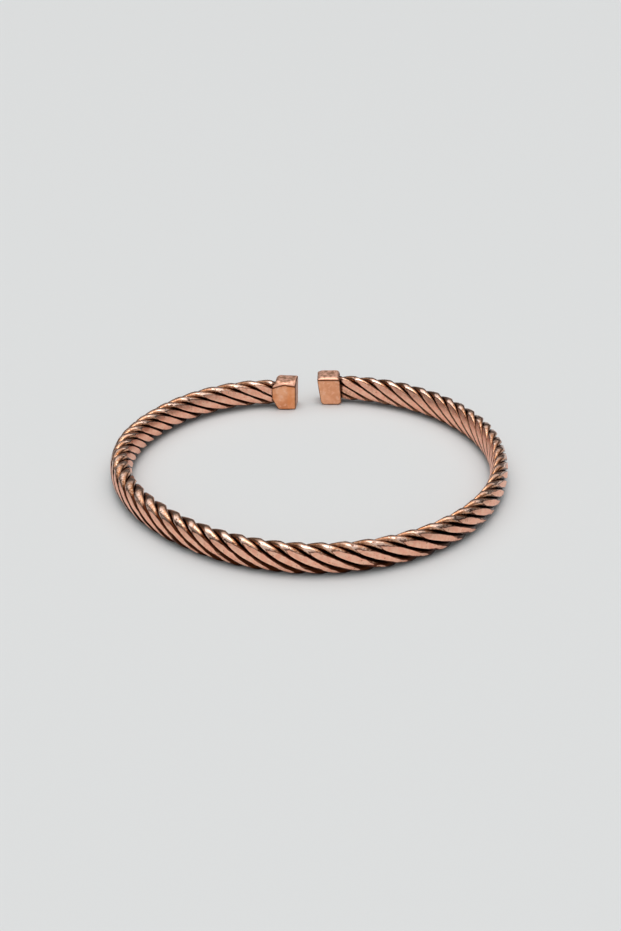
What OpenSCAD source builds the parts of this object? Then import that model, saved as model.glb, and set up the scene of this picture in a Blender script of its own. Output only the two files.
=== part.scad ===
// Open copper bracelet: six strands twisted into a flattened rope, with a cap over each end.
// Millimetres. It lies on its side as on a table: X to the right, Y to the back, Z up, gap at the back.

/* [Ring] */
// Radius of the ring that the middle of the rope follows
ring_radius = 31; // [29:0.1:33]
// How far the left end is tucked in towards the wrist
left_tuck = 6.2; // [5:0.1:7]
// How far the right end is tucked in
right_tuck = 2.8; // [1:0.1:3.5]
// Degrees round from the front at which the tucking in begins
tuck_start = 126; // [110:1:140]
// Open gap between the two caps
end_gap = 3.75; // [3:0.05:3.9]
// How far the gap lies to the left of the middle
gap_offset = 0.6; // [0:0.05:1]

/* [Rope] */
// Mean width of the rope from its flat outer side to its flat inner side
rope_width = 3.35; // [3.2:0.05:3.5]
// Height of the rope
rope_height = 4.9; // [4.6:0.05:5]
// Squareness of the rope's section, 2 being an ellipse
rope_squareness = 2.05; // [2:0.05:2.6]
// How far a strand would stand out of its hammered flat on the rope's outer side
flat_cut = 0.24; // [0.2:0.02:0.4]
// How much deeper the flats are pressed on the inner side
inner_pressing = 0.1; // [0:0.02:0.2]
// Radius of the slight crown of the flats
flat_crown = 4; // [4:0.5:8]
// How much the flats on both sides lean into the rope as they rise, as a slope
flat_lean = 0.05; // [0:0.01:0.1]
// How much narrower the rope is at its ends, as a share
end_narrowing = 0.22; // [0.2:0.01:0.26]
// How much lower the rope is at its ends, as a share
end_lowering = 0.04; // [0.03:0.01:0.06]
// Length over which the rope narrows towards each end
narrowing_length = 12; // [8:1:20]

/* [Strands] */
// Length in which a strand goes once round the rope
strand_lay = 19.12; // [18:0.02:21]
// Angle in the section of the first strand at the front
strand_angle = 18.7; // [0:0.1:60]
// Radius of a strand's rounded back
strand_round = 1.1; // [0.95:0.05:1.3]
// How far a strand's ridge is pushed towards the flats at the rope's edges, as a share of its half width
ridge_lean = 0.8; // [0:0.1:0.8]
// How far the ridge lies lower than the middle of the strand on the flats, as a share of its half width
ridge_drop = 0.1; // [0:0.1:0.3]
// Clear space between neighbouring strands
strand_gap = 0.17; // [0.15:0.01:0.2]

/* [Caps] */
// Height of the caps
cap_height = 5.6; // [5.5:0.1:6.2]
// Width of the caps
cap_width = 4.1; // [4:0.1:4.4]
// Length of the left cap
left_length = 4.6; // [4.5:0.1:5.5]
// Length of the right cap
right_length = 4.75; // [4.5:0.05:5.2]
// Depth of the hole that takes the rope
socket_depth = 3.2; // [2.6:0.1:3.4]
// Space round the rope in its hole
socket_space = 0.16; // [0.15:0.01:0.18]

/* [Hidden] */

// Columns of the three tables below
WAVES = 0;
COSINE = 1;
SINE = 2;

// How far the bent ring is out of round: waves round the ring, cosine part and sine part in mm
out_of_round = [
  [2, -0.21, 0.4],
  [3, 0, 0.26],
  [4, 0.31, 0.04],
  [5, -0.08, -0.09],
];

// How much wider the rope is in places: waves round the ring, cosine part and sine part in mm
uneven_width = [
  [1, -0.4, -0.32],
];

// How far the twist runs ahead or behind: waves round the ring, cosine part and sine part in degrees
uneven_twist = [
  [1, -12.3, -24.6],
  [2, 0.9, 26.4],
  [3, 2.6, -7.7],
  [4, -7.5, -8.7],
  [5, -3.1, 4.5],
];

// Middle of the whole bracelet seen from above, which becomes the origin
middle = [-0.52, -0.845];
// Height of the rope's middle at the front, where it lies on the table, and at the caps
front_level = rope_height / 2 + 0.01;
cap_level = cap_height / 2;
// Turns of the twist for each turn round the ring
twist_rate = 2 * PI * ring_radius / strand_lay;
// Distance of a strand's inner corners from the middle of the rope
core_radius = 0.3;
// The farthest that a ridge lies from the middle of its strand, as a share of the half width
ridge_limit = 0.85;
// Rings of points along a strand
STEPS = 160;
// Points over a strand's back between its edges, as shares of its half width
BACK = [-0.7, 0, 0.7];
POINTS = len(BACK) + 4;
// How much of a half circle a strand's back covers
STRAND_FULLNESS = 0.96;

function sum(list, i = 0) = i < len(list) ? list[i] + sum(list, i + 1) : 0;
function wave(row, p) = row[COSINE] * cos(row[WAVES] * p) + row[SINE] * sin(row[WAVES] * p);
function waves(table, p) = sum([for (row = table) wave(row, p)]);
function clamp(x, low, high) = min(max(x, low), high);
function unit(v) = v / norm(v);

// The middle line of the rope, by degrees round from the front, minus to the left
function tucked(p) =
  let (share = clamp((abs(p) - tuck_start) / (180 - tuck_start), 0, 1.2))
  share * share * (p < 0 ? left_tuck : right_tuck);
function radius_at(p) = ring_radius + waves(out_of_round, p) - tucked(p);
function level_at(p) = front_level + (cap_level - front_level) * (1 - cos(p)) / 2;
function centre_at(p) =
  let (r = radius_at(p))
  [r * sin(p) - middle[0], -r * cos(p) - middle[1], level_at(p)];
function along_at(p) =
  let (d = centre_at(p + 0.5) - centre_at(p - 0.5))
  unit([d[0], d[1], 0]);
function outward_at(p) = let (t = along_at(p)) [t[1], -t[0], 0];

// Degrees short of the place opposite the front for a distance in mm sideways, by closer and closer guesses
function degrees_back(distance, side, guess = 0, again = 6) =
  again == 0
    ? guess
    : degrees_back(distance, side, asin(distance / radius_at(side * (180 - guess))), again - 1);
// Space between the strands' ends and the bottom of the hole
end_space = 0.3;
left_tip = end_gap / 2 + gap_offset;
right_tip = end_gap / 2 - gap_offset;
left_inside = left_tip + left_length - socket_depth + end_space;
right_inside = right_tip + right_length - socket_depth + end_space;
first_degree = -180 + degrees_back(left_inside, -1);
last_degree = 180 - degrees_back(right_inside, 1);

// Width and height of the rope at a place, both less towards its ends
function from_end(p) = min(p - first_degree, last_degree - p) * PI / 180 * ring_radius;
function size_at(p) =
  let (near = clamp(1 - from_end(p) / narrowing_length, 0, 1))
  [
    (rope_width + waves(uneven_width, p)) * (1 - end_narrowing * near),
    rope_height * (1 - end_lowering * near)
  ];

// A point of the rope's section: outward and up, at an angle, sunk by a depth, on or inside the flats
function face_at(size, up) = size[0] / 2 - up * up / (2 * flat_crown) - flat_lean * up;
function on_rope(size, angle, depth) =
  let (
    c = cos(angle),
    s = sin(angle),
    reach = pow(pow(abs(c), rope_squareness) + pow(abs(s), rope_squareness), -1 / rope_squareness),
    whole = [(size[0] / 2 + flat_cut) * c * reach, size[1] / 2 * s * reach],
    sunk = whole * (1 - depth / norm(whole))
  )
  [clamp(sunk[0], inner_pressing - face_at(size, sunk[1]), face_at(size, sunk[1])), sunk[1]];
// Where a strand's ridge lies across it, as a share of its half width
function ridge_at(angle) =
  clamp(-ridge_drop * cos(angle) - ridge_lean * sin(2 * angle), -ridge_limit, ridge_limit);
// How deep a strand's back lies below its ridge, at a share of its half width and an angle in the section
function depth_at(share, angle) =
  let (
    ridge = ridge_at(angle),
    part = (share - ridge) / (share < ridge ? 1 + ridge : 1 - ridge)
  )
  strand_round * (1 - sqrt(1 - pow(STRAND_FULLNESS * part, 2)));
function phase_at(p) = strand_angle - p * twist_rate + waves(uneven_twist, p);

// The two corners of a strand's side wall, one on the rope and one near its middle, moved into the strand
function wall(size, angle, share) =
  let (
    edge = on_rope(size, angle, depth_at(share, angle)),
    way = unit(edge),
    aside = [-way[1], way[0]] * (-share * strand_gap / 2)
  )
  [edge + aside, way * core_radius + aside];
function strand_ring(p, number) =
  let (
    angle = phase_at(p) + 60 * number,
    size = size_at(p),
    low = wall(size, angle - 30, -1),
    high = wall(size, angle + 30, 1),
    back = [
      for (share = BACK)
        let (at = angle + 30 * share)
        on_rope(size, at, depth_at(share, at))
    ]
  )
  concat([low[0]], back, [high[0], high[1], low[1]]);
function placed(p, ring) =
  let (
    c = centre_at(p),
    out = outward_at(p)
  )
  [for (q = ring) c + out * q[0] + [0, 0, q[1]]];

module strand(number) {
  step = (last_degree - first_degree) / (STEPS - 1);
  points = [
    for (i = [0 : STEPS - 1])
      let (p = first_degree + i * step)
      each placed(p, strand_ring(p, number))
  ];
  sides = [
    for (i = [0 : STEPS - 2], j = [0 : POINTS - 1])
      let (
        a = i * POINTS + j,
        b = i * POINTS + (j + 1) % POINTS,
        c = b + POINTS,
        d = a + POINTS
      )
      each (j == POINTS - 1 ? [[a, b, d], [b, c, d]] : [[a, b, c], [a, c, d]])
  ];
  start = [for (j = [1 : POINTS - 2]) [0, j + 1, j]];
  end = [for (j = [1 : POINTS - 2]) [0, j, j + 1] + [1, 1, 1] * (STEPS - 1) * POINTS];
  polyhedron(points = points, faces = concat(start, sides, end), convexity = 20);
}

// A flat outline from a table of corners, each rounded by its own radius
CORNER_STEPS = 4;
function corner(before, at, after, radius) =
  let (
    a = unit(before - at),
    b = unit(after - at),
    half = acos(clamp(a * b, -1, 1)) / 2,
    reach = radius / tan(half),
    mid = at + unit(a + b) * (radius / sin(half)),
    from = at + a * reach - mid,
    to = at + b * reach - mid
  )
  [for (i = [0 : CORNER_STEPS])
    let (
      w = i / CORNER_STEPS,
      v = from * (1 - w) + to * w
    )
    mid + unit(v) * radius];
function rounded(table) = [
  for (i = [0 : len(table) - 1])
    let (
      row = table[i],
      before = table[(i + len(table) - 1) % len(table)],
      after = table[(i + 1) % len(table)]
    )
    each corner([before[0], before[1]], [row[0], row[1]], [after[0], after[1]], row[2])
];

// A cap along X from its mouth at zero, its flat bottom on the table; tables give corners and their radii
module cap(side_view, top_view, end_view, length) {
  difference() {
    intersection() {
      rotate([90, 0, 0]) linear_extrude(2 * cap_width, center = true) polygon(rounded(side_view));
      linear_extrude(cap_height) polygon(rounded(top_view));
      rotate([90, 0, 90]) linear_extrude(length) polygon(rounded(end_view));
    }
    translate([socket_depth - 10, 0, cap_level])
      rotate([90, 0, 90])
        linear_extrude(10)
          polygon(rounded(socket_outline));
  }
}

// The hole fits the rope as it is at the cap's mouth
mouth_rope = size_at(first_degree + (socket_depth - end_space) / ring_radius * 180 / PI);
socket_half = mouth_rope / 2 + [1, 1] * socket_space;
socket_corner = 0.7;
socket_outline = [
  for (x = [-1, 1], y = [-1, 1])
    [x * socket_half[0], x * y * socket_half[1], socket_corner]
];

// Corners of the left cap seen from the side: from the mouth, from the table, radius
left_side_view = [
  [0, 2.2, 0.3],
  [1.2, 0, 0.3],
  [left_length - 0.1, 0, 0.6],
  [left_length, cap_height, 1.1],
  [0.8, cap_height, 0.4],
  [0, cap_height - 0.8, 0.2],
];
// Corners of the left cap seen from above: from the mouth, towards the outside, radius
left_top_view = [
  [0, -cap_width / 2 + 0.1, 0.1],
  [0.5, -cap_width / 2, 0.3],
  [left_length - 1.6, -cap_width / 2, 0.4],
  [left_length, 0.5 - cap_width / 2, 0.4],
  [left_length, cap_width / 2, 0.8],
  [0.9, cap_width / 2, 0.4],
  [0, cap_width / 2 - 1, 0.2],
];
// Corners of the right cap, whose top hangs over towards the gap
right_side_view = [
  [0, 0.4, 0.3],
  [0.4, 0, 0.3],
  [right_length - 0.85, 0, 0.8],
  [right_length, cap_height, 0.6],
  [0.75, cap_height, 0.4],
  [0.35, cap_height - 0.5, 0.4],
];
right_top_view = [
  [0, -cap_width / 2 + 0.1, 0.1],
  [0.4, -cap_width / 2, 0.3],
  [right_length, -cap_width / 2, 0.5],
  [right_length, cap_width / 2, 0.5],
  [0.4, cap_width / 2, 0.3],
  [0, cap_width / 2 - 0.1, 0.1],
];
// Corners of a cap seen along the rope: towards the outside, from the table, radius
cap_end_view = [
  [-cap_width / 2, 0, 0.4],
  [cap_width / 2, 0, 0.4],
  [cap_width / 2, cap_height, 0.7],
  [-cap_width / 2, cap_height, 0.2],
];

// Puts a cap over an end, in line with the piece of rope inside it: side is -1 at the left, 1 at the right
module at_end(side, tip, length) {
  mouth = centre_at(side * (180 - degrees_back(tip + length, side)));
  inside = centre_at(side < 0 ? first_degree : last_degree);
  way = inside - mouth;
  translate([mouth[0], mouth[1], 0])
    rotate([0, 0, atan2(way[1], way[0])])
      children();
}

module left_end_cap() {
  color([0.80, 0.50, 0.36])
    at_end(-1, left_tip, left_length)
      cap(left_side_view, left_top_view, cap_end_view, left_length);
}

module right_end_cap() {
  color([0.82, 0.53, 0.38])
    at_end(1, right_tip, right_length)
      mirror([0, 1, 0])
        cap(right_side_view, right_top_view, cap_end_view, right_length);
}

module strand_1() {
  color([0.84, 0.58, 0.48]) strand(0);
}

module strand_2() {
  color([0.81, 0.55, 0.45]) strand(1);
}

module strand_3() {
  color([0.84, 0.57, 0.46]) strand(2);
}

module strand_4() {
  color([0.80, 0.56, 0.47]) strand(3);
}

module strand_5() {
  color([0.83, 0.59, 0.48]) strand(4);
}

module strand_6() {
  color([0.82, 0.56, 0.46]) strand(5);
}

strand_1();
strand_2();
strand_3();
strand_4();
strand_5();
strand_6();
left_end_cap();
right_end_cap();
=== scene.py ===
"""Open bracelet of six copper strands twisted into a flattened rope, with a cap over each end."""
import math

import bpy
import numpy as np
from mathutils import Matrix, Vector


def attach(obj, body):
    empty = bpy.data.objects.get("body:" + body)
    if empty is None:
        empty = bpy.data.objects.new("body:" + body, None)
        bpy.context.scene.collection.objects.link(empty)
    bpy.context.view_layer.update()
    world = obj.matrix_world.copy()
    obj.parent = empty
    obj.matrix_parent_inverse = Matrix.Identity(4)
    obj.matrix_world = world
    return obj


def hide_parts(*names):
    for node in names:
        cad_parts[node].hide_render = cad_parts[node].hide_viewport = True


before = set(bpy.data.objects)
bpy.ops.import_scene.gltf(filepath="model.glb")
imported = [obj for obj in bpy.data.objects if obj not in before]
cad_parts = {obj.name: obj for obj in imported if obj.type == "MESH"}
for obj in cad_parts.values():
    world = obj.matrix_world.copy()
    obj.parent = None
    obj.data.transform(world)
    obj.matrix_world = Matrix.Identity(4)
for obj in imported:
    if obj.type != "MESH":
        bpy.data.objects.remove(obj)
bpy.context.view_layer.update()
MM = 0.001

# Sizes in millimetres and angles in degrees, the same as in the part's source
# The ring that the middle of the rope follows, and the gap between its ends
RING_RADIUS = 31
LEFT_TUCK = 6.2
RIGHT_TUCK = 2.8
TUCK_START = 126
TUCK_LIMIT = 1.2
END_GAP = 3.75
GAP_OFFSET = 0.6
MIDDLE = (-0.52, -0.845)
# The rope
ROPE_WIDTH = 3.35
ROPE_HEIGHT = 4.9
SQUARENESS = 2.05
FLAT_CUT = 0.24
INNER_PRESSING = 0.1
FLAT_CROWN = 4
FLAT_LEAN = 0.05
END_NARROWING = 0.22
END_LOWERING = 0.04
NARROWING_LENGTH = 12
# The strands in it
STRANDS = 6
HALF_STRAND = 180 / STRANDS
STRAND_LAY = 19.12
STRAND_ANGLE = 18.7
STRAND_ROUND = 1.1
STRAND_FULLNESS = 0.96
RIDGE_DROP = 0.1
RIDGE_LEAN = 0.8
RIDGE_LIMIT = 0.85
# The caps
CAP_HEIGHT = 5.6
CAP_WIDTH = 4.1
LEFT_LENGTH = 4.6
RIGHT_LENGTH = 4.75
SOCKET_DEPTH = 3.2
END_SPACE = 0.3
# Heights of the rope's middle at the front and at the caps
FRONT_LEVEL = ROPE_HEIGHT / 2 + 0.01
CAP_LEVEL = CAP_HEIGHT / 2
TWIST_RATE = 2 * math.pi * RING_RADIUS / STRAND_LAY
# Waves round the ring: how many, cosine part, sine part
OUT_OF_ROUND = ((2, -0.21, 0.4), (3, 0, 0.26), (4, 0.31, 0.04), (5, -0.08, -0.09))
UNEVEN_WIDTH = ((1, -0.4, -0.32),)
UNEVEN_TWIST = ((1, -12.3, -24.6), (2, 0.9, 26.4), (3, 2.6, -7.7), (4, -7.5, -8.7), (5, -3.1, 4.5))
GUESSES = 6


def waves(table, p):
    """Sum of a table's waves at p degrees round from the front."""
    a = np.radians(p)
    return sum(c * np.cos(k * a) + s * np.sin(k * a) for k, c, s in table)


def radius_at(p):
    """Distance of the rope's middle line from the ring's centre."""
    share = np.clip((np.abs(p) - TUCK_START) / (180 - TUCK_START), 0, TUCK_LIMIT)
    tuck = share**2 * np.where(p < 0, LEFT_TUCK, RIGHT_TUCK)
    return RING_RADIUS + waves(OUT_OF_ROUND, p) - tuck


def centre_at(p):
    """Middle line of the rope, one row for each place."""
    a = np.radians(p)
    r = radius_at(p)
    level = FRONT_LEVEL + (CAP_LEVEL - FRONT_LEVEL) * (1 - np.cos(a)) / 2
    return np.stack([r * np.sin(a) - MIDDLE[0], -r * np.cos(a) - MIDDLE[1], level], -1)


def along_at(p):
    """Level direction along the rope, from half a degree before to half a degree after."""
    d = centre_at(p + 0.5) - centre_at(p - 0.5)
    d[..., 2] = 0
    return d / np.linalg.norm(d, axis=-1, keepdims=True)


def degrees_back(distance, side):
    """Degrees short of the place opposite the front for a distance sideways, by closer guesses."""
    guess = 0.0
    for _ in range(GUESSES):
        guess = math.degrees(math.asin(distance / float(radius_at(np.float64(side * (180 - guess))))))
    return guess


# Distances of the caps' tips from the middle, and degrees at which the strands begin and end
LEFT_TIP = END_GAP / 2 + GAP_OFFSET
RIGHT_TIP = END_GAP / 2 - GAP_OFFSET
FIRST = -180 + degrees_back(LEFT_TIP + LEFT_LENGTH - SOCKET_DEPTH + END_SPACE, -1)
LAST = 180 - degrees_back(RIGHT_TIP + RIGHT_LENGTH - SOCKET_DEPTH + END_SPACE, 1)


def arc(p):
    """Length of p degrees of the ring."""
    return p * math.pi / 180 * RING_RADIUS


def from_end(p):
    """Length of rope between a place and the nearer end."""
    return arc(np.minimum(p - FIRST, LAST - p))


def size_at(p):
    """Width and height of the rope, both less near its ends."""
    share = np.clip(1 - from_end(p) / NARROWING_LENGTH, 0, 1)
    wide = (ROPE_WIDTH + waves(UNEVEN_WIDTH, p)) * (1 - END_NARROWING * share)
    return wide, ROPE_HEIGHT * (1 - END_LOWERING * share)


def phase_at(p):
    """Angle of the first strand in the rope's section."""
    return STRAND_ANGLE - p * TWIST_RATE + waves(UNEVEN_TWIST, p)


# Hand-made unevenness of the strands. Columns: size, length of a wave, first strand's seed, where
# it starts, and how much further on it starts in each strand that follows
SINKING = (0.03, 2.3, 11, 0, 40)
SLANT = (0.03, 1.7, 40, 100, 0)
PRESSING = (0.021, 1.3, 60, 0, 0)
KNOTS = 4000


def uneven(kind, along, number):
    """Smooth random curve along a strand, the same in each run."""
    size, step, seed, start, stagger = kind
    knots = np.random.default_rng(seed + number).uniform(-1, 1, KNOTS)
    x = (along + start + stagger * number) / step
    i = np.floor(x).astype(int)
    f = x - i
    f = f * f * (3 - 2 * f)
    return size * (knots[i % KNOTS] * (1 - f) + knots[(i + 1) % KNOTS] * f)


def make_mesh(name, points, faces, attributes):
    """A smooth closed mesh in metres, with named numbers on its vertices."""
    mesh = bpy.data.meshes.new(name)
    mesh.from_pydata((points * MM).tolist(), [], faces)
    mesh.polygons.foreach_set("use_smooth", np.ones(len(mesh.polygons), bool))
    for key, values in attributes.items():
        layer = mesh.attributes.new(key, "FLOAT", "POINT")
        layer.data.foreach_set("value", values.astype(np.float32).ravel())
    mesh.update()
    piece = bpy.data.objects.new(name, mesh)
    bpy.context.scene.collection.objects.link(piece)
    return piece


def tube_corners(rows, columns, first=0):
    """Corners of a tube's faces: here, the next in this row, and the same two in the row after it."""
    i, j = np.meshgrid(np.arange(rows - 1), np.arange(columns), indexing="ij")
    here = (first + i * columns + j).ravel()
    beside = (first + i * columns + (j + 1) % columns).ravel()
    return here, beside, beside + columns, here + columns


# Strands: rings of points along them, and points over the back and down each side wall
RINGS = 1080
BACK_POINTS = 30
WALL_POINTS = 4
# How much of a half circle spaces the points over the back
SPACING = 0.92
# Gap between strands, and how far from the rope's middle their side walls end
VISIBLE_GAP = 0.06
CORE = 0.35
# What the marks on a side wall's vertices say: depth below the ridge, height over the flat
WALL_DEPTH = 2.0
WALL_OVER_FLAT = -1
# Length of rope in a cap, and length next to the right cap that is dirtier
COVERED = SOCKET_DEPTH - END_SPACE
DIRTY_LENGTH = 8


def spaced(count):
    """Shares of the half width across a strand, minus one to one, closer together near its edges."""
    quarter = math.pi / 2 * SPACING
    return np.sin(np.linspace(-1, 1, count) * quarter) / math.sin(quarter)


BACK = spaced(BACK_POINTS)
DOWN = np.linspace(0, 1, WALL_POINTS + 1)


def strand_back(p, number):
    """Points over a strand's back in the rope's section, their height over the flat, their depth."""
    ring, across = np.meshgrid(p, BACK, indexing="ij")
    along = arc(ring)
    t = np.radians(phase_at(ring) + 2 * HALF_STRAND * number + HALF_STRAND * across)
    c, s = np.cos(t), np.sin(t)
    reach = (np.abs(c) ** SQUARENESS + np.abs(s) ** SQUARENESS) ** (-1 / SQUARENESS)
    wide, high = size_at(ring)
    u = (wide / 2 + FLAT_CUT) * c * reach
    v = high / 2 * s * reach
    ridge = np.clip(-RIDGE_DROP * c - RIDGE_LEAN * np.sin(2 * t), -RIDGE_LIMIT, RIDGE_LIMIT)
    from_ridge = (across - ridge) / np.where(across < ridge, 1 + ridge, 1 - ridge)
    sunk = STRAND_ROUND * (1 - np.sqrt(1 - (STRAND_FULLNESS * from_ridge) ** 2))
    kept = 1 - (sunk + uneven(SINKING, along, number)) / np.hypot(u, v)
    u = u * kept
    v = v * kept
    face = wide / 2 - v * v / (2 * FLAT_CROWN) - FLAT_LEAN * v - np.where(u < 0, INNER_PRESSING, 0)
    over = np.abs(u) - face
    hammered = face + uneven(SLANT, along, number) * across + uneven(PRESSING, along, number)
    u = np.sign(u) * np.minimum(np.abs(u), hammered)
    return np.stack([u, v], -1), over, sunk


def side_wall(edge, side, down):
    """Points from the edge of a groove down to the rope's core, half a gap clear of the next strand."""
    far = np.hypot(edge[:, 0], edge[:, 1])[:, None]
    way = edge / far
    aside = way[:, ::-1] * (side, -side) * VISIBLE_GAP / 2
    reach = far * (1 - down) + CORE * down
    return way[:, None] * reach[..., None] + aside[:, None]


def strand_piece(number):
    """One strand: a rounded back, hammered flats, and sides that run down between its neighbours."""
    p = np.linspace(FIRST, LAST, RINGS)
    back, over, sunk = strand_back(p, number)
    wall_down = side_wall(back[:, -1], 1, DOWN)
    wall_up = side_wall(back[:, 0], -1, DOWN[::-1])
    section = np.concatenate([wall_up[:, -1:], back[:, 1:-1], wall_down, wall_up[:, :-1]], 1)
    columns = section.shape[1]
    groove = np.concatenate([np.abs(BACK), 1 + DOWN[1:], 1 + DOWN[:0:-1]])
    on_walls = ((0, 0), (0, 2 * WALL_POINTS))
    way = along_at(p)
    outward = np.stack([way[:, 1], -way[:, 0], np.zeros(RINGS)], -1)
    points = centre_at(p)[:, None] + outward[:, None] * section[..., :1] + (0, 0, 1) * section[..., 1:]
    here, beside, beside_after, after_here = tube_corners(RINGS, columns)
    faces = np.stack([after_here, beside_after, beside, here], 1).tolist()
    faces.append(list(range(columns)))
    faces.append(list(range((RINGS - 1) * columns, RINGS * columns))[::-1])
    attributes = {
        "groove": np.tile(groove, RINGS),
        "flat": np.pad(over.clip(WALL_OVER_FLAT), on_walls, constant_values=WALL_OVER_FLAT),
        "height": section[..., 1] / (ROPE_HEIGHT / 2),
        "sunk": np.pad(sunk, on_walls, constant_values=WALL_DEPTH),
        "aside": section[..., 0],
        "dirty": np.repeat(np.clip(1 - arc(LAST - p) / DIRTY_LENGTH, 0, 1), columns),
        "from_cap": np.repeat(from_end(p) - COVERED, columns),
    }
    return make_mesh(f"strand_{number + 1}_detailed", points.reshape(-1, 3), faces, attributes)


strands = [strand_piece(k) for k in range(STRANDS)]

# Caps: points round them, rows from the tip to the mouth, and rows down the hole
CAP_ROUNDS = 260
CAP_ROWS = 130
SOCKET_ROWS = 6
SOCKET_HALF = (1.74, 2.54)
SOCKET_SQUARENESS = 6
LEFT_SHARPNESS = 22
RIGHT_SHARPNESS = 32
# Times that the search for the hole's rim halves its range, which begins this far outside the mouth
HALVINGS = 30
BEFORE_MOUTH = 2.0
# Waves of the shallow dents: their pitch along each axis, and where they start
DENT_WAVES = (((5.1, 2.3, 7.7), 1), ((-6.3, 8.9, 3.1), 2), ((9.7, 4.3, -8.1), 0))
DENT_SHARE = 0.003
# Millimetres from a cap's middle to a face, roughly
TO_FACE = 2.5
# What the marks on a cap's vertices say on the tip face, and in the hole
ON_TIP = 2
HOLE_MARKS = {"upper": -1, "edge": 0, "slab": 0, "inside": 1}
# Facets in the cap's own axes, from the mouth to the tip, away from the ring's centre, up.
# Columns: what a facet belongs to, the way it faces, a point on it
HALF_WIDTH = CAP_WIDTH / 2
LEFT_FACETS = (
    ("under", (0, 0, -1), (0, 0, 0)),
    ("top", (0, 0, 1), (0, 0, CAP_HEIGHT)),
    ("top", (0, -0.35, 0.5), (2.5, -HALF_WIDTH, CAP_HEIGHT - 0.2)),
    ("top", (-0.74, -1.79, 2.2), (2.6, -HALF_WIDTH, CAP_HEIGHT - 0.2)),
    ("top", (0.86, -1.08, 1.79), (2.6, -HALF_WIDTH, CAP_HEIGHT - 0.15)),
    ("top", (-1, 0, 1), (0.8, 0, CAP_HEIGHT)),
    ("tip", (1, 0, -0.02), (LEFT_LENGTH, 0, CAP_HEIGHT)),
    ("mouth", (-1, 0, 0), (0, 0, 0)),
    ("mouth", (-2.2, 0, -1.2), (1.2, 0, 0)),
    ("front", (0, -1, 0), (0, -HALF_WIDTH, 0)),
    ("front", (0.5, -1.6, 0), (LEFT_LENGTH, 0.5 - HALF_WIDTH, 0)),
    ("back", (0, 1, 0), (0, HALF_WIDTH, 0)),
    ("back", (-1, 0.9, 0), (0.9, HALF_WIDTH, 0)),
)
RIGHT_FACETS = (
    ("under", (0, 0, -1), (0, 0, 0)),
    ("top", (0, 0, 1), (0, 0, CAP_HEIGHT)),
    ("top", (0, -0.35, 0.5), (0, -HALF_WIDTH, CAP_HEIGHT - 0.3)),
    ("top", (-0.5, 0, 0.4), (0.75, 0, CAP_HEIGHT)),
    ("top", (0.6, 0, 1), (RIGHT_LENGTH - 0.75, 0, CAP_HEIGHT)),
    ("tip", (5.6, 0, -0.85), (RIGHT_LENGTH, 0, CAP_HEIGHT)),
    ("under", (1, 0, -1), (RIGHT_LENGTH - 1.2, 0, 0)),
    ("mouth", (-4.7, 0, 0.35), (0, 0, 0.4)),
    ("under", (-1, 0, -1), (0.5, 0, 0)),
    ("front", (0, -1, 0), (0, -HALF_WIDTH, 0)),
    ("back", (0, 1, 0), (0, HALF_WIDTH, 0)),
)


class Block:
    """A block cut by flat facets, whose edges are the softer the less sharp it is."""

    def __init__(self, facets, middle, sharpness):
        self.kinds = np.array([kind for kind, way, point in facets])
        self.ways = np.array([way for kind, way, point in facets], float)
        self.ways /= np.linalg.norm(self.ways, axis=1, keepdims=True)
        points = np.array([point for kind, way, point in facets])
        self.reach = ((points - middle) * self.ways).sum(1)
        self.sharpness = sharpness

    def nearness(self, step):
        """Share of the distance to each facet that a step from the middle covers."""
        return np.maximum(step @ self.ways.T / self.reach, 0)

    def fullness(self, step):
        """Share of the distance to the softened surface that a step from the middle covers."""
        return (self.nearness(step) ** self.sharpness).sum(-1) ** (1 / self.sharpness)


def cap_rim(block, middle):
    """Points where the hole's wall comes out of the cap, and the ways to them from the hole's axis."""
    a = np.linspace(0, 2 * math.pi, CAP_ROUNDS, endpoint=False)
    out = np.stack([np.cos(a), np.sin(a)], -1)
    wall = (np.abs(out / SOCKET_HALF) ** SOCKET_SQUARENESS).sum(-1) ** (-1 / SOCKET_SQUARENESS)
    rim = np.column_stack([np.zeros(CAP_ROUNDS), middle[1:] + wall[:, None] * out])
    outside = np.full(CAP_ROUNDS, -BEFORE_MOUTH)
    inside = np.full(CAP_ROUNDS, middle[0])
    for _ in range(HALVINGS):
        rim[:, 0] = (outside + inside) / 2
        beyond = block.fullness(rim - middle) > 1
        outside = np.where(beyond, rim[:, 0], outside)
        inside = np.where(beyond, inside, rim[:, 0])
    rim[:, 0] = inside
    return rim, out


def cap_ways(rim, out, middle):
    """Ways from the middle to the skin's points: the tip first, then rows round it up to the rim."""
    last = np.arctan2(np.hypot(*(rim - middle)[:, 1:].T), rim[:, 0] - middle[0])
    turn = np.linspace(0, 1, CAP_ROWS + 1)[1:, None] * last
    rows = np.stack([np.cos(turn), np.sin(turn) * out[:, 0], np.sin(turn) * out[:, 1]], -1)
    return np.concatenate([[[1.0, 0, 0]], rows.reshape(-1, 3)])


def cap_marks(block, steps, along):
    """How far the skin's points are up from the crease below the top, in from an edge, and along."""
    near = block.nearness(steps) * TO_FACE
    best = {kind: near[:, block.kinds == kind].max(1) for kind in dict.fromkeys(block.kinds)}
    ranked = np.sort(np.stack(list(best.values()), 1), 1)
    upper = best["top"] - np.max([best[kind] for kind in best if kind != "top"], axis=0)
    in_from_rim = best["top"] - np.max([best[kind] for kind in ("tip", "mouth", "back")], axis=0)
    return {
        "upper": upper,
        "edge": np.where(upper > 0, in_from_rim, ranked[:, -1] - ranked[:, -2]),
        "slab": np.where(best["tip"] >= ranked[:, -1], ON_TIP, along),
    }


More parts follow.
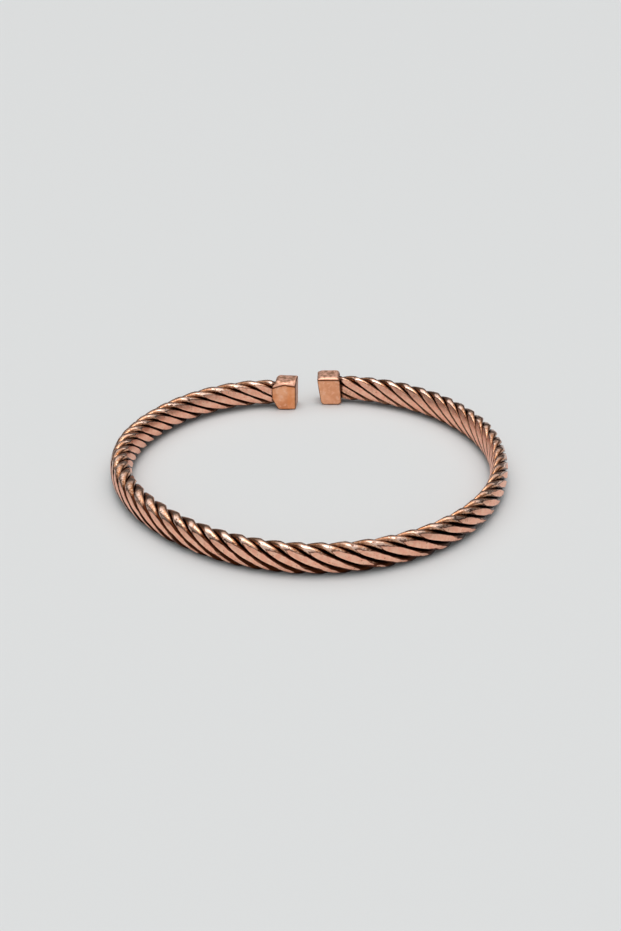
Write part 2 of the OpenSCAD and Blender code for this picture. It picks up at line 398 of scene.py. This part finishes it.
def cap_faces():
    """Faces of the skin and the hole, with a fan at the tip and one at the bottom of the hole."""
    rows = CAP_ROWS + SOCKET_ROWS
    here, beside, beside_after, after_here = tube_corners(rows, CAP_ROUNDS, 1)
    faces = np.stack([here, after_here, beside_after, beside], 1).tolist()
    last_row = 1 + (rows - 1) * CAP_ROUNDS
    bottom = last_row + CAP_ROUNDS
    faces += [[0, 1 + k, 1 + (k + 1) % CAP_ROUNDS] for k in range(CAP_ROUNDS)]
    faces += [[bottom, last_row + (k + 1) % CAP_ROUNDS, last_row + k] for k in range(CAP_ROUNDS)]
    return faces


def over_end(points, side, tip, length):
    """Points of a cap put over its end of the rope, mirrored on the right."""
    mouth = centre_at(np.float64(side * (180 - degrees_back(tip + length, side))))
    way = (centre_at(np.float64(FIRST if side < 0 else LAST)) - mouth)[:2]
    way /= np.hypot(*way)
    y = points[:, 1] * -side
    x = mouth[0] + way[0] * points[:, 0] - way[1] * y
    return np.stack([x, mouth[1] + way[1] * points[:, 0] + way[0] * y, points[:, 2]], -1)


def cap_piece(name, side, tip, length, facets, sharpness):
    """A cap cut from flat facets with softened edges, shallow dents, and a hole for the rope."""
    middle = np.array([length / 2, 0, CAP_LEVEL])
    block = Block(facets, middle, sharpness)
    rim, out = cap_rim(block, middle)
    way = cap_ways(rim, out, middle)
    dents = sum(np.sin(way @ pitch + start) for pitch, start in DENT_WAVES)
    far = (1 - DENT_SHARE * (len(DENT_WAVES) + dents)) / block.fullness(way)
    steps = way * far[:, None]
    skin = middle + steps
    deep = np.linspace(0, 1, SOCKET_ROWS + 1)[1:, None]
    hole = np.repeat(rim[None], SOCKET_ROWS, 0)
    hole[..., 0] = rim[:, 0] * (1 - deep) + SOCKET_DEPTH * deep
    points = np.concatenate([skin, hole.reshape(-1, 3), [[SOCKET_DEPTH, 0, CAP_LEVEL]]])
    hidden = len(points) - len(skin)
    marks = cap_marks(block, steps, skin[:, 0] / length if side < 0 else 0)
    marks["inside"] = np.zeros(len(skin))
    for key, in_hole in HOLE_MARKS.items():
        marks[key] = np.pad(marks[key], (0, hidden), constant_values=in_hole)
    faces = cap_faces()
    if side > 0:
        faces = [face[::-1] for face in faces]
    return make_mesh(name, over_end(points, side, tip, length), faces, marks)


left_cap = cap_piece("left_end_cap_detailed", -1, LEFT_TIP, LEFT_LENGTH, LEFT_FACETS, LEFT_SHARPNESS)
right_cap = cap_piece("right_end_cap_detailed", 1, RIGHT_TIP, RIGHT_LENGTH, RIGHT_FACETS, RIGHT_SHARPNESS)


# Nodes for the materials and the light
class Value:
    """A number, colour or direction that varies from place to place. Working with it adds nodes."""

    def __init__(self, tree, socket):
        self.tree = tree
        self.socket = socket

    def maths(self, operation, other=0.0):
        """This and another value or number put together."""
        node = self.tree.add("ShaderNodeMath", (self, other), operation=operation)
        return Value(self.tree, node.outputs["Value"])

    def __add__(self, other):
        return self.maths("ADD", other)

    def __sub__(self, other):
        return self.maths("SUBTRACT", other)

    def __mul__(self, other):
        return self.maths("MULTIPLY", other)

    def __abs__(self):
        return self.maths("ABSOLUTE")

    def or_more(self, other):
        """The greater of the two."""
        return self.maths("MAXIMUM", other)

    def spread(self, amount):
        """A noise turned into one about zero, this much from its lowest to its highest."""
        return (self - 0.5) * amount

    def ramp(self, change):
        """A smooth change: from one value to another as this goes from start to end."""
        node = self.tree.add("ShaderNodeMapRange", (self, *change), interpolation_type="SMOOTHSTEP")
        return Value(self.tree, node.outputs["Result"])


class Tree:
    """The nodes of a material or of the world, with short ways to add to them."""

    def __init__(self, owner):
        owner.use_nodes = True
        self.nodes = owner.node_tree.nodes
        self.links = owner.node_tree.links

    def feed(self, slot, value):
        """Links a slot to a value that varies, or sets it to one that doesn't."""
        if isinstance(value, Value):
            self.links.new(value.socket, slot)
        else:
            slot.default_value = value

    def add(self, kind, inputs=(), **settings):
        """A new node, with its settings and its first inputs."""
        node = self.nodes.new(kind)
        for key, value in settings.items():
            setattr(node, key, value)
        for slot, value in zip(node.inputs, inputs):
            self.feed(slot, value)
        return node

    def read(self, name):
        """One of the numbers on the vertices of a mesh."""
        return Value(self, self.add("ShaderNodeAttribute", attribute_name=name).outputs["Fac"])

    def mix(self, share, under, over):
        """A share of one colour over another, each a value or red, green and blue."""
        node = self.add("ShaderNodeMix", (share,), data_type="RGBA")
        for slot, colour in ((node.inputs[6], under), (node.inputs[7], over)):
            self.feed(slot, (*colour, 1) if isinstance(colour, tuple) else colour)
        return Value(self, node.outputs[2])


# Materials
# Noises in the copper. Columns: scale, detail
MOTTLE = (1500, 3)
FINE = (5200, 4)
BROAD = (420, 3)
PITS = (3200, 2)
NOISE_ROUGHNESS = 0.55
# The bumps, and the fine noise's share in them
BUMP_STRENGTH = 0.5
BUMP_DEPTH = 0.05 * MM
FINE_BUMPS = 0.4

# Colours: the hammered flats, from dark to light, their orange flecks and their pits
RUBBED_DARK = (0.95, 0.46, 0.32)
RUBBED_LIGHT = (1.0, 0.60, 0.44)
RUBBED_ORANGE = (1.0, 0.48, 0.24)
PIT = (0.40, 0.16, 0.08)
# The strands' backs, their ridges, the flecks on them, and the painted shade along the top of the rope
BACK_DARK = (0.35, 0.142, 0.060)
BACK_LIGHT = (0.68, 0.345, 0.205)
RIDGE = (0.97, 0.69, 0.57)
FLECK = (0.98, 0.71, 0.54)
CREST_SHADE = (0.26, 0.105, 0.046)
# Dark stains, painted shade, and the black in the grooves
# Stains on the strands, also painted shade along the caps' edges and on their tips
TARNISH_AND_SHADE = (0.15, 0.050, 0.020)
# A painted shade line round a flat or below a cap's top
CREASE_SHADE = (0.14, 0.040, 0.020)
# Black oxide in the grooves, also painted shade below the rope and where it goes into its caps
OXIDE_AND_SHADE = (0.042, 0.010, 0.003)
# The caps' faces, the slab at the left one's tip, and the tops with the painted highlight on their lip
CAP_DARK = (0.76, 0.29, 0.13)
CAP_LIGHT = (0.94, 0.46, 0.26)
CAP_PALE = (1.0, 0.60, 0.41)
CAP_SLAB = (0.90, 0.33, 0.12)
CAP_LIP_HIGHLIGHT = (0.84, 0.46, 0.32)
TOP_DARK = (0.46, 0.24, 0.15)
TOP_LIGHT = (0.84, 0.50, 0.37)


class Copper(Tree):
    """A worn copper: its colour and roughness follow noises and the numbers on a piece's vertices."""

    def __init__(self, name):
        self.material = bpy.data.materials.new(name)
        super().__init__(self.material)
        self.place = Value(self, self.add("ShaderNodeTexCoord").outputs["Object"])
        self.mottle = self.noise(*MOTTLE)
        self.fine = self.noise(*FINE)
        self.broad = self.noise(*BROAD)

    def noise(self, scale, detail):
        """Noise from nought to one."""
        node = self.add("ShaderNodeTexNoise", (self.place,))
        node.inputs["Scale"].default_value = scale
        node.inputs["Detail"].default_value = detail
        node.inputs["Roughness"].default_value = NOISE_ROUGHNESS
        return Value(self, node.outputs["Fac"])

    def finished(self, colour, rough):
        """The material, with this colour and roughness and a slightly bumpy surface."""
        shader = self.nodes["Principled BSDF"]
        shader.inputs["Metallic"].default_value = 1
        self.feed(shader.inputs["Base Color"], colour)
        self.feed(shader.inputs["Roughness"], rough)
        bump = self.add("ShaderNodeBump")
        bump.inputs["Strength"].default_value = BUMP_STRENGTH
        bump.inputs["Distance"].default_value = BUMP_DEPTH
        self.feed(bump.inputs["Height"], self.fine * FINE_BUMPS + self.mottle)
        self.links.new(bump.outputs["Normal"], shader.inputs["Normal"])
        return self.material


# Changes over a strand. Columns: start, end, value at the start, value at the end
# By noise
RUBBED_PATCHES = (0.35, 0.68, 0, 1)
ORANGE_FLECKS = (0.58, 0.74, 0, 0.5)
PITTING = (0.65, 0.71, 0, 0.8)
BACK_PATCHES = (0.36, 0.64, 0, 1)
BRIGHT_FLECKS = (0.52, 0.66, 0, 0.8)
STAINS = (0.32, 0.45, 0.9, 0)
DIRT_SPECKS = (0.40, 0.56, 0, 1)
BACK_ROUGHNESS = (0.3, 0.7, 0.14, 0.26)
FLAT_ROUGHNESS = (0.3, 0.7, 0.34, 0.44)
# By depth below the ridge, in millimetres
RIDGE_LIGHT = (0, 0.18, 0.95, 0)
SOOT_DEEP_DOWN = (0.30, 0.58, 0, 1)
SOOT_ON_FACES = (0.11, 0.28, 0, 1)
# By height, in halves of the rope's height
FACES_END = (0.62, 0.84, 1, 0)
# Black below the rope: oxide on its unpolished underside, and painted shade
OXIDE_AND_SHADE_BELOW = (-0.35, -0.05, 1, 0)
# Where the painted shade along the top of the rope begins
CREST_ABOVE = (0.3, 0.5, 0, 1)
DIRT_BELOW = (-0.2, 0.3, 0.8, 0)
# Flats cut back towards their feet, partly oxide and partly painted shade
FOOT_CUT = (-0.28, 0.10, 0.11, 0)
FOOT_END = (-0.72, -0.35, 0.25, 1)
HEAD_CUT = (0.35, 0.70, 0, 0.2)
# By distance from the rope's middle line towards the outside, in millimetres
# How far to each side of the middle line the painted shade along the top reaches
CREST_BESIDE = (0.20, 0.60, 0.55, 0)
INNER_SIDE_HIGHER = (-0.2, 0.2, 0.45, 0)
LESS_BLACK_INSIDE = (-0.2, 0.2, 0.78, 1)
LESS_FOOT_INSIDE = (-0.2, 0.2, 0.25, 1)
LESS_HEAD_INSIDE = (-0.2, 0.2, 0.6, 1)
# By how far a place stands over the flat, in millimetres
FLAT_BORDER = (-0.10, -0.03, 0, 0.85)
FLAT_BEGINS = (-0.01, 0.02, 0, 1)
# By share of the way across, and by distance from the caps
GROOVE_BLACK = (0.93, 1.0, 0, 1)
DIRT_NEAR_CAP = (0.1, 0.6, 0, 1)
# Painted shade where the rope goes into its caps
MOUTH_SHADE = (0.15, 0.75, 0.95, 0)
# How far noise shifts the tones below the ridge, the flats' borders, and the painted shade at the caps
PATCHY_TONES = 0.7
WAVY_BORDERS = 0.42
PATCHY_MOUTH = 1.2


def strand_copper():
    """Salmon where a strand is hammered flat, glossy brown on its back, black in its grooves."""
    copper = Copper("Worn twisted copper")
    mottle, fine, broad = copper.mottle, copper.fine, copper.broad
    height = copper.read("height")
    aside = copper.read("aside")
    depth = copper.read("sunk") + mottle.spread(PATCHY_TONES)

    rubbed = copper.mix(mottle.ramp(RUBBED_PATCHES), RUBBED_DARK, RUBBED_LIGHT)
    rubbed = copper.mix(fine.ramp(ORANGE_FLECKS), rubbed, RUBBED_ORANGE)
    rubbed = copper.mix(copper.noise(*PITS).ramp(PITTING), rubbed, PIT)
    dirt = copper.read("dirty").ramp(DIRT_NEAR_CAP) * fine.ramp(DIRT_SPECKS) * height.ramp(DIRT_BELOW)
    rubbed = copper.mix(dirt, rubbed, BACK_DARK)

    # Bright along the ridges, brown lower down, with painted shade along the top of the rope
    back = copper.mix(broad.ramp(BACK_PATCHES), BACK_DARK, BACK_LIGHT)
    back = copper.mix(depth.ramp(RIDGE_LIGHT), back, RIDGE)
    back = copper.mix(fine.ramp(BRIGHT_FLECKS), back, FLECK)
    back = copper.mix(mottle.ramp(STAINS), back, TARNISH_AND_SHADE)
    back = copper.mix(abs(aside).ramp(CREST_BESIDE) * height.ramp(CREST_ABOVE), back, CREST_SHADE)

    # Black between the strands: wide on the two faces, narrow over the top, and below partly painted
    # shade
    black_and_shade = depth.ramp(SOOT_DEEP_DOWN).or_more(height.ramp(FACES_END) * depth.ramp(SOOT_ON_FACES))
    black_and_shade = black_and_shade.or_more((height + aside.ramp(INNER_SIDE_HIGHER)).ramp(OXIDE_AND_SHADE_BELOW))
    back = copper.mix(black_and_shade * aside.ramp(LESS_BLACK_INSIDE), back, OXIDE_AND_SHADE)

    # Flats fade out towards their feet into black oxide and painted shade, and towards their heads
    # A painted shade line goes round them
    foot = aside.ramp(LESS_FOOT_INSIDE) * height.ramp(FOOT_CUT) * height.ramp(FOOT_END)
    head = aside.ramp(LESS_HEAD_INSIDE) * height.ramp(HEAD_CUT)
    over = copper.read("flat") - foot - head - broad.spread(WAVY_BORDERS)
    back = copper.mix(over.ramp(FLAT_BORDER), back, CREASE_SHADE)
    on_flat = over.ramp(FLAT_BEGINS)
    colour = copper.mix(on_flat, back, rubbed)

    # Black oxide in the grooves, and painted shade where the rope goes into its caps
    colour = copper.mix(copper.read("groove").ramp(GROOVE_BLACK), colour, OXIDE_AND_SHADE)
    from_cap = copper.read("from_cap") + mottle.spread(PATCHY_MOUTH)
    colour = copper.mix(from_cap.ramp(MOUTH_SHADE), colour, OXIDE_AND_SHADE)
    back_rough = broad.ramp(BACK_ROUGHNESS)
    return copper.finished(colour, back_rough + (mottle.ramp(FLAT_ROUGHNESS) - back_rough) * on_flat)


# Changes over a cap. Columns: start, end, value at the start, value at the end
# By noise
CAP_PATCHES = (0.35, 0.65, 0, 1)
PALE_PATCHES = (0.50, 0.68, 0, 0.6)
TOP_PATCHES = (0.38, 0.60, 0, 1)
CAP_ROUGHNESS = (0.3, 0.7, 0.30, 0.42)
# By place along the left cap, as a share of its length; the right cap is at nought, a tip at two
PALER_RIGHT_CAP = (0, 0.05, 0.2, 0)
SLAB_BEGINS = (0.60, 0.70, 0, 0.45)
# Painted shade on the tips, which face each other across the gap
TIP_SHADE = (1.2, 1.6, 0, 0.6)
# By distance up from the crease below the top, in millimetres
TOP_BEGINS = (0, 0.06, 0, 1)
# Where the painted highlight on the lip ends
LIP_ENDS = (0.25, 0.50, 0.8, 0)
# Where the painted shade line below the top begins and ends
CREASE_BEGINS = (-0.24, -0.08, 0, 1)
CREASE_ENDS = (0, 0.06, 0.92, 0)
TOP_ROUGHER = (0, 0.1, 0, 0.12)
# By distance in from an edge, in millimetres
# Painted shade along the edges
EDGE_SHADE = (0.02, 0.28, 0.85, 0)
# How far noise shifts the painted highlight on the lip and the painted shade along the edges
PATCHY_LIP = 0.9
PATCHY_EDGES = 0.2


def cap_copper():
    """Orange faces, a browner top with a painted highlight near its front, a painted shade line below it,
    and a black hole.
    """
    copper = Copper("Worn cap copper")
    mottle = copper.mottle
    upper = copper.read("upper")
    slab = copper.read("slab")
    colour = copper.mix(copper.broad.ramp(CAP_PATCHES), CAP_DARK, CAP_LIGHT)
    colour = copper.mix(mottle.ramp(PALE_PATCHES), colour, CAP_PALE)
    colour = copper.mix(slab.ramp(PALER_RIGHT_CAP), colour, CAP_PALE)
    colour = copper.mix(slab.ramp(SLAB_BEGINS), colour, CAP_SLAB)
    # Painted shade on the tips
    colour = copper.mix(slab.ramp(TIP_SHADE), colour, TARNISH_AND_SHADE)
    top = copper.mix(mottle.ramp(TOP_PATCHES), TOP_DARK, TOP_LIGHT)
    # Painted highlight on the lip along the front of the top
    top = copper.mix((upper + mottle.spread(PATCHY_LIP)).ramp(LIP_ENDS), top, CAP_LIP_HIGHLIGHT)
    colour = copper.mix(upper.ramp(TOP_BEGINS), colour, top)
    # Painted shade: a dark line just below the top
    colour = copper.mix(upper.ramp(CREASE_BEGINS) * upper.ramp(CREASE_ENDS), colour, CREASE_SHADE)
    # Painted shade along the edges
    edge = copper.read("edge") + mottle.spread(PATCHY_EDGES)
    colour = copper.mix(edge.ramp(EDGE_SHADE), colour, TARNISH_AND_SHADE)
    colour = copper.mix(copper.read("inside"), colour, OXIDE_AND_SHADE)
    return copper.finished(colour, mottle.ramp(CAP_ROUGHNESS) + upper.ramp(TOP_ROUGHER))


def dress(piece, node, material):
    """Gives a piece its material and puts it in the place of its solid."""
    piece.data.materials.append(material)
    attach(piece, "root")
    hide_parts(node)


twisted = strand_copper()
capped = cap_copper()
for k, piece in enumerate(strands):
    dress(piece, f"strand_{k + 1}", twisted)
dress(left_cap, "left_end_cap", capped)
dress(right_cap, "right_end_cap", capped)

# Floor of pale paper, in metres
FLOOR_HALF = 3.0
PAPER = (0.716, 0.728, 0.728, 1)
PAPER_ROUGHNESS = 0.9
PAPER_SHINE = 0.1


def make_floor():
    """A wide sheet of paper under the bracelet."""
    mesh = bpy.data.meshes.new("floor")
    corners = [(x * FLOOR_HALF, y * FLOOR_HALF, 0) for x, y in ((-1, -1), (1, -1), (1, 1), (-1, 1))]
    mesh.from_pydata(corners, [], [(0, 1, 2, 3)])
    paper = bpy.data.materials.new("Pale paper")
    paper.use_nodes = True
    shader = paper.node_tree.nodes["Principled BSDF"]
    shader.inputs["Base Color"].default_value = PAPER
    shader.inputs["Roughness"].default_value = PAPER_ROUGHNESS
    shader.inputs["Specular IOR Level"].default_value = PAPER_SHINE
    mesh.materials.append(paper)
    sheet = bpy.data.objects.new("floor", mesh)
    bpy.context.scene.collection.objects.link(sheet)
    return sheet


floor = make_floor()

# Glows in a dim room: a soft box overhead, its bright core, and a window at the front. Columns:
# the way to it, degrees from that way where it is full and where it ends, light there and in full
OVERHEAD = Vector((0, 0.12, 1)).normalized()
FRONT = Vector((0, -1, 0.25)).normalized()
ROOM = 0.14
SOFT_BOX = (OVERHEAD, 32, 56, ROOM, 1.16)
CORE_GLOW = (OVERHEAD, 9, 20, 0, 3.2)
WINDOW = (FRONT, 25, 80, 0, 0.5)
WHITE = (1, 1, 1, 1)


def make_light():
    """The light of the world: white, and as strong in each direction as the glows there together."""
    world = bpy.data.worlds.new("Soft studio")
    tree = Tree(world)
    direction = Value(tree, tree.add("ShaderNodeTexCoord").outputs["Generated"])

    def glow(way, full, end, low, high):
        facing = tree.add("ShaderNodeVectorMath", (direction, way), operation="DOT_PRODUCT")
        edges = [math.cos(math.radians(angle)) for angle in (end, full)]
        return Value(tree, facing.outputs["Value"]).ramp((*edges, low, high))

    background = tree.nodes["Background"]
    tree.feed(background.inputs["Strength"], glow(*SOFT_BOX) + glow(*CORE_GLOW) + glow(*WINDOW))
    background.inputs["Color"].default_value = WHITE
    return world


bpy.context.scene.world = make_light()

# Camera, aimed at a point near the middle of the ring and tilted with it; the roll is in radians
DISTANCE = 180.55
ELEVATION = 28.2
AIM = (-0.164, 1.936, -2.655)
ROLL = -0.01342
FOCAL_PIXELS = 1053.1
PHOTO_HEIGHT = 931
SENSOR = 36
# The nearest and the farthest that it sees, in metres
NEAREST = 0.01
FARTHEST = 20


def make_camera():
    """A camera where the photograph's was."""
    lean = math.atan2(CAP_LEVEL - FRONT_LEVEL, 2 * RING_RADIUS)
    tilt = Matrix.Rotation(lean, 4, "X")
    facing = Matrix.Rotation(math.radians(90 - ELEVATION), 4, "X")
    hub = Vector((-MIDDLE[0], -MIDDLE[1], (FRONT_LEVEL + CAP_LEVEL) / 2))
    eye = Vector(AIM) + facing @ Vector((0, 0, DISTANCE))
    camera = bpy.data.objects.new("camera", bpy.data.cameras.new("camera"))
    camera.data.lens = FOCAL_PIXELS / PHOTO_HEIGHT * SENSOR
    camera.data.clip_start = NEAREST
    camera.data.clip_end = FARTHEST
    place = Matrix.Translation((hub + tilt @ eye) * MM)
    camera.matrix_world = place @ tilt @ facing @ Matrix.Rotation(ROLL, 4, "Z")
    bpy.context.scene.collection.objects.link(camera)
    return camera


bpy.context.scene.camera = make_camera()
bpy.context.scene.view_settings.view_transform = "Standard"
